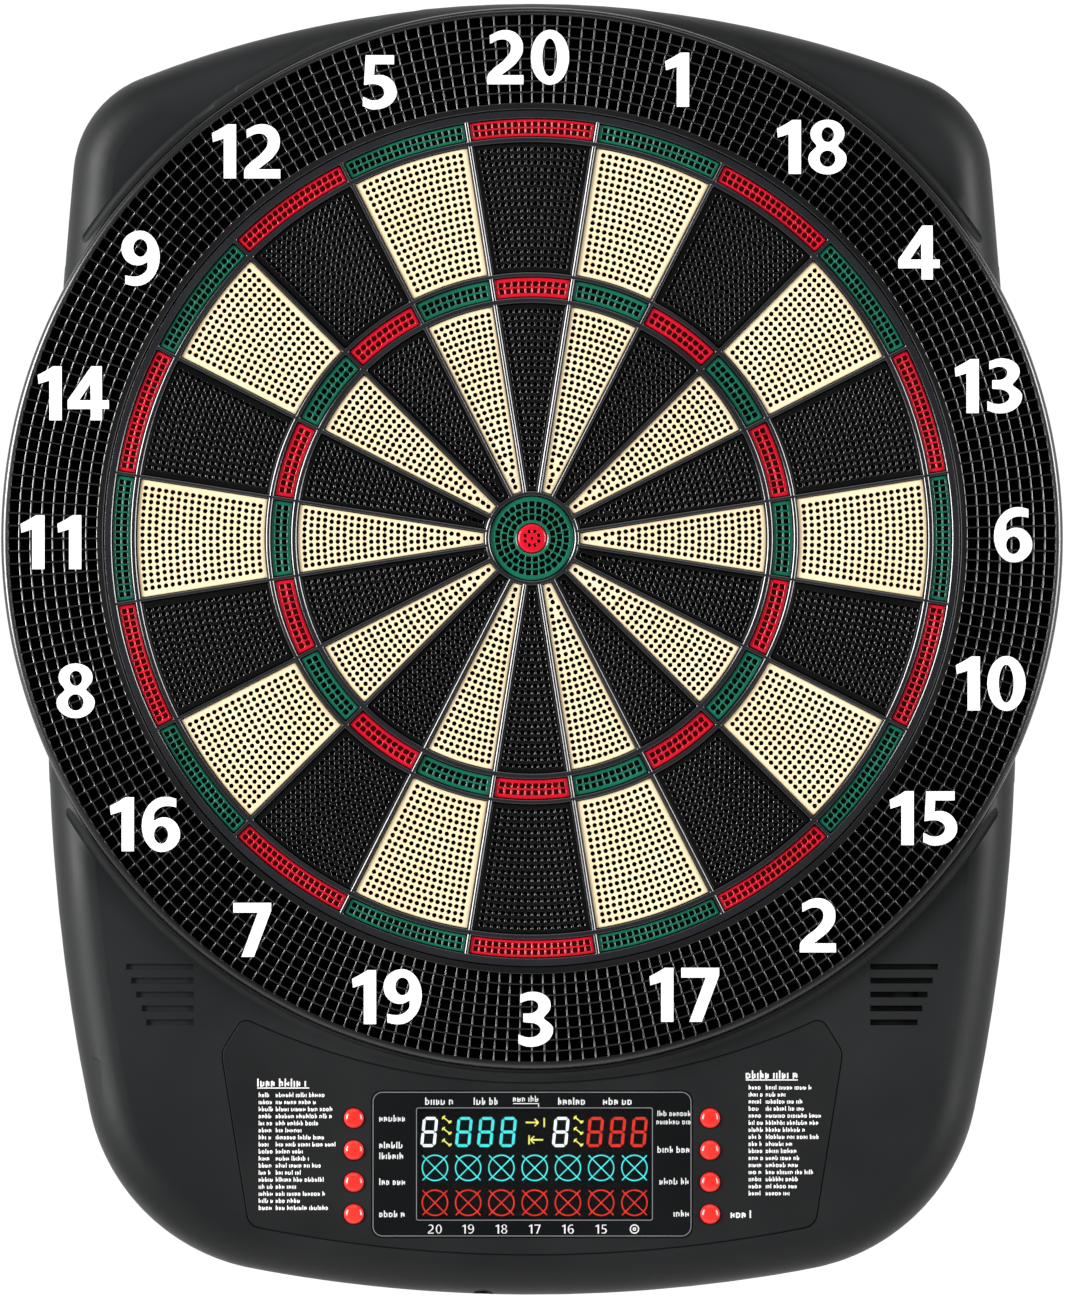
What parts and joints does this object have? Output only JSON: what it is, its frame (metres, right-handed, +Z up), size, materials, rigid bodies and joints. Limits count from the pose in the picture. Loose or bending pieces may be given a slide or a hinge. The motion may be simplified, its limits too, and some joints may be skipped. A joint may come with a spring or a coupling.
{
  "type": "electronic dartboard",
  "caption": "Wall-hung electronic dartboard: pocketed number ring round sprung target segments in a web, over a console with buttons and a display.",
  "frame": {"origin": "on the wall plane, straight behind the centre of the bull", "axes": "+Z up, +X to the right as the player sees it, +Y into the wall, so the target faces -Y"},
  "size_m": [0.4345, 0.033, 0.531],
  "materials": {
    "casing": "fine moulded grain, satin black ABS",
    "rear_cover": "coarser moulded grain, black ABS",
    "number_ring": "satin black moulding with white printed numerals",
    "web": "dark grey moulded nylon",
    "black_segments": "glossy black thermoplastic",
    "cream_segments": "satin cream thermoplastic",
    "red_segments": "glossy red thermoplastic",
    "green_segments": "glossy green thermoplastic",
    "red_buttons": "glossy red caps",
    "panel": "satin black printed panel",
    "smoked_window": "smoked acrylic",
    "display": "dark display face with lit segments",
    "component_black": "moulded component bodies",
    "circuit_board": "green solder mask",
    "speaker": "paper cone in a black basket",
    "mat": "soft black rubber",
    "film": "clear polyester with carbon tracks",
    "hardboard": "pressed hardboard",
    "cells": "printed metal cans",
    "nickel_plate": "nickel-plated spring steel",
    "screws": "zinc-plated steel",
    "lead_insulation": "PVC insulation"
  },
  "bodies": {
    "board": {"back_cover": "rear_cover", "backing_board": "hardboard", "batteries": "cells", "battery_contacts": "nickel_plate", "board_screws": "screws", "casing_screws": "screws", "circuit_board": "circuit_board", "circuit_parts": "component_black", "control_panel": "panel", "display_module": "display", "display_window": "smoked_window", "front_casing": "casing", "number_ring": "number_ring", "power_jack": "component_black", "push_switches": "component_black", "rubber_mat": "mat", "sensor_film_front": "film", "sensor_film_rear": "film", "sensor_spacer": "film", "speaker": "speaker", "spider": "web", "target_screws": "screws", "wire_leads": "lead_insulation"},
    "outer_single_20": {"outer_single_20": "black_segments"},
    "outer_single_01": {"outer_single_01": "cream_segments"},
    "outer_single_18": {"outer_single_18": "black_segments"},
    "outer_single_04": {"outer_single_04": "cream_segments"},
    "outer_single_13": {"outer_single_13": "black_segments"},
    "outer_single_06": {"outer_single_06": "cream_segments"},
    "outer_single_10": {"outer_single_10": "black_segments"},
    "outer_single_15": {"outer_single_15": "cream_segments"},
    "outer_single_02": {"outer_single_02": "black_segments"},
    "outer_single_17": {"outer_single_17": "cream_segments"},
    "outer_single_03": {"outer_single_03": "black_segments"},
    "outer_single_19": {"outer_single_19": "cream_segments"},
    "outer_single_07": {"outer_single_07": "black_segments"},
    "outer_single_16": {"outer_single_16": "cream_segments"},
    "outer_single_08": {"outer_single_08": "black_segments"},
    "outer_single_11": {"outer_single_11": "cream_segments"},
    "outer_single_14": {"outer_single_14": "black_segments"},
    "outer_single_09": {"outer_single_09": "cream_segments"},
    "outer_single_12": {"outer_single_12": "black_segments"},
    "outer_single_05": {"outer_single_05": "cream_segments"},
    "doubles_red": {"doubles_red": "red_segments"},
    "doubles_green": {"doubles_green": "green_segments"},
    "trebles_red": {"trebles_red": "red_segments"},
    "trebles_green": {"trebles_green": "green_segments"},
    "inner_singles_black": {"inner_singles_black": "black_segments"},
    "inner_singles_cream": {"inner_singles_cream": "cream_segments"},
    "bull_outer": {"bull_outer": "green_segments"},
    "bull_inner": {"bull_inner": "red_segments"},
    "button_bounce_out": {"button_bounce_out": "red_buttons"},
    "button_handicap": {"button_handicap": "red_buttons"},
    "button_miss": {"button_miss": "red_buttons"},
    "button_option": {"button_option": "red_buttons"},
    "button_player": {"button_player": "red_buttons"},
    "button_power": {"button_power": "red_buttons"},
    "button_reset": {"button_reset": "red_buttons"},
    "button_start": {"button_start": "red_buttons"},
    "battery_door": {"battery_door": "rear_cover"}
  },
  "joints": [
    {"name": "outer_single_20_press", "type": "slide", "parent": "board", "child": "outer_single_20", "axis": [0, 1, 0], "range_m": [0, 0.001], "stiffness_N_per_m": 1500, "deforming": ["rubber_mat"]},
    {"name": "outer_single_01_press", "type": "slide", "parent": "board", "child": "outer_single_01", "axis": [0, 1, 0], "range_m": [0, 0.001], "stiffness_N_per_m": 1500, "deforming": ["rubber_mat"]},
    {"name": "outer_single_18_press", "type": "slide", "parent": "board", "child": "outer_single_18", "axis": [0, 1, 0], "range_m": [0, 0.001], "stiffness_N_per_m": 1500, "deforming": ["rubber_mat"]},
    {"name": "outer_single_04_press", "type": "slide", "parent": "board", "child": "outer_single_04", "axis": [0, 1, 0], "range_m": [0, 0.001], "stiffness_N_per_m": 1500, "deforming": ["rubber_mat"]},
    {"name": "outer_single_13_press", "type": "slide", "parent": "board", "child": "outer_single_13", "axis": [0, 1, 0], "range_m": [0, 0.001], "stiffness_N_per_m": 1500, "deforming": ["rubber_mat"]},
    {"name": "outer_single_06_press", "type": "slide", "parent": "board", "child": "outer_single_06", "axis": [0, 1, 0], "range_m": [0, 0.001], "stiffness_N_per_m": 1500, "deforming": ["rubber_mat"]},
    {"name": "outer_single_10_press", "type": "slide", "parent": "board", "child": "outer_single_10", "axis": [0, 1, 0], "range_m": [0, 0.001], "stiffness_N_per_m": 1500, "deforming": ["rubber_mat"]},
    {"name": "outer_single_15_press", "type": "slide", "parent": "board", "child": "outer_single_15", "axis": [0, 1, 0], "range_m": [0, 0.001], "stiffness_N_per_m": 1500, "deforming": ["rubber_mat"]},
    {"name": "outer_single_02_press", "type": "slide", "parent": "board", "child": "outer_single_02", "axis": [0, 1, 0], "range_m": [0, 0.001], "stiffness_N_per_m": 1500, "deforming": ["rubber_mat"]},
    {"name": "outer_single_17_press", "type": "slide", "parent": "board", "child": "outer_single_17", "axis": [0, 1, 0], "range_m": [0, 0.001], "stiffness_N_per_m": 1500, "deforming": ["rubber_mat"]},
    {"name": "outer_single_03_press", "type": "slide", "parent": "board", "child": "outer_single_03", "axis": [0, 1, 0], "range_m": [0, 0.001], "stiffness_N_per_m": 1500, "deforming": ["rubber_mat"]},
    {"name": "outer_single_19_press", "type": "slide", "parent": "board", "child": "outer_single_19", "axis": [0, 1, 0], "range_m": [0, 0.001], "stiffness_N_per_m": 1500, "deforming": ["rubber_mat"]},
    {"name": "outer_single_07_press", "type": "slide", "parent": "board", "child": "outer_single_07", "axis": [0, 1, 0], "range_m": [0, 0.001], "stiffness_N_per_m": 1500, "deforming": ["rubber_mat"]},
    {"name": "outer_single_16_press", "type": "slide", "parent": "board", "child": "outer_single_16", "axis": [0, 1, 0], "range_m": [0, 0.001], "stiffness_N_per_m": 1500, "deforming": ["rubber_mat"]},
    {"name": "outer_single_08_press", "type": "slide", "parent": "board", "child": "outer_single_08", "axis": [0, 1, 0], "range_m": [0, 0.001], "stiffness_N_per_m": 1500, "deforming": ["rubber_mat"]},
    {"name": "outer_single_11_press", "type": "slide", "parent": "board", "child": "outer_single_11", "axis": [0, 1, 0], "range_m": [0, 0.001], "stiffness_N_per_m": 1500, "deforming": ["rubber_mat"]},
    {"name": "outer_single_14_press", "type": "slide", "parent": "board", "child": "outer_single_14", "axis": [0, 1, 0], "range_m": [0, 0.001], "stiffness_N_per_m": 1500, "deforming": ["rubber_mat"]},
    {"name": "outer_single_09_press", "type": "slide", "parent": "board", "child": "outer_single_09", "axis": [0, 1, 0], "range_m": [0, 0.001], "stiffness_N_per_m": 1500, "deforming": ["rubber_mat"]},
    {"name": "outer_single_12_press", "type": "slide", "parent": "board", "child": "outer_single_12", "axis": [0, 1, 0], "range_m": [0, 0.001], "stiffness_N_per_m": 1500, "deforming": ["rubber_mat"]},
    {"name": "outer_single_05_press", "type": "slide", "parent": "board", "child": "outer_single_05", "axis": [0, 1, 0], "range_m": [0, 0.001], "stiffness_N_per_m": 1500, "deforming": ["rubber_mat"]},
    {"name": "doubles_red_press", "type": "slide", "parent": "board", "child": "doubles_red", "axis": [0, 1, 0], "range_m": [0, 0.001], "stiffness_N_per_m": 1500, "deforming": ["rubber_mat"]},
    {"name": "doubles_green_press", "type": "slide", "parent": "board", "child": "doubles_green", "axis": [0, 1, 0], "range_m": [0, 0.001], "stiffness_N_per_m": 1500, "deforming": ["rubber_mat"]},
    {"name": "trebles_red_press", "type": "slide", "parent": "board", "child": "trebles_red", "axis": [0, 1, 0], "range_m": [0, 0.001], "stiffness_N_per_m": 1500, "deforming": ["rubber_mat"]},
    {"name": "trebles_green_press", "type": "slide", "parent": "board", "child": "trebles_green", "axis": [0, 1, 0], "range_m": [0, 0.001], "stiffness_N_per_m": 1500, "deforming": ["rubber_mat"]},
    {"name": "inner_singles_black_press", "type": "slide", "parent": "board", "child": "inner_singles_black", "axis": [0, 1, 0], "range_m": [0, 0.001], "stiffness_N_per_m": 1500, "deforming": ["rubber_mat"]},
    {"name": "inner_singles_cream_press", "type": "slide", "parent": "board", "child": "inner_singles_cream", "axis": [0, 1, 0], "range_m": [0, 0.001], "stiffness_N_per_m": 1500, "deforming": ["rubber_mat"]},
    {"name": "bull_outer_press", "type": "slide", "parent": "board", "child": "bull_outer", "axis": [0, 1, 0], "range_m": [0, 0.001], "stiffness_N_per_m": 1500, "deforming": ["rubber_mat"]},
    {"name": "bull_inner_press", "type": "slide", "parent": "board", "child": "bull_inner", "axis": [0, 1, 0], "range_m": [0, 0.001], "stiffness_N_per_m": 1500, "deforming": ["rubber_mat"]},
    {"name": "button_bounce_out_press", "type": "slide", "parent": "board", "child": "button_bounce_out", "axis": [0, 1, 0], "range_m": [0, 0.0006], "stiffness_N_per_m": 800},
    {"name": "button_handicap_press", "type": "slide", "parent": "board", "child": "button_handicap", "axis": [0, 1, 0], "range_m": [0, 0.0006], "stiffness_N_per_m": 800},
    {"name": "button_miss_press", "type": "slide", "parent": "board", "child": "button_miss", "axis": [0, 1, 0], "range_m": [0, 0.0006], "stiffness_N_per_m": 800},
    {"name": "button_option_press", "type": "slide", "parent": "board", "child": "button_option", "axis": [0, 1, 0], "range_m": [0, 0.0006], "stiffness_N_per_m": 800},
    {"name": "button_player_press", "type": "slide", "parent": "board", "child": "button_player", "axis": [0, 1, 0], "range_m": [0, 0.0006], "stiffness_N_per_m": 800},
    {"name": "button_power_press", "type": "slide", "parent": "board", "child": "button_power", "axis": [0, 1, 0], "range_m": [0, 0.0006], "stiffness_N_per_m": 800},
    {"name": "button_reset_press", "type": "slide", "parent": "board", "child": "button_reset", "axis": [0, 1, 0], "range_m": [0, 0.0006], "stiffness_N_per_m": 800},
    {"name": "button_start_press", "type": "slide", "parent": "board", "child": "button_start", "axis": [0, 1, 0], "range_m": [0, 0.0006], "stiffness_N_per_m": 800},
    {"name": "battery_door_hinge", "type": "hinge", "parent": "board", "child": "battery_door", "pos_m": [-0.114, -0.0019, -0.2719], "axis": [-1, 0, 0], "range_deg": [0, 90]}
  ]
}
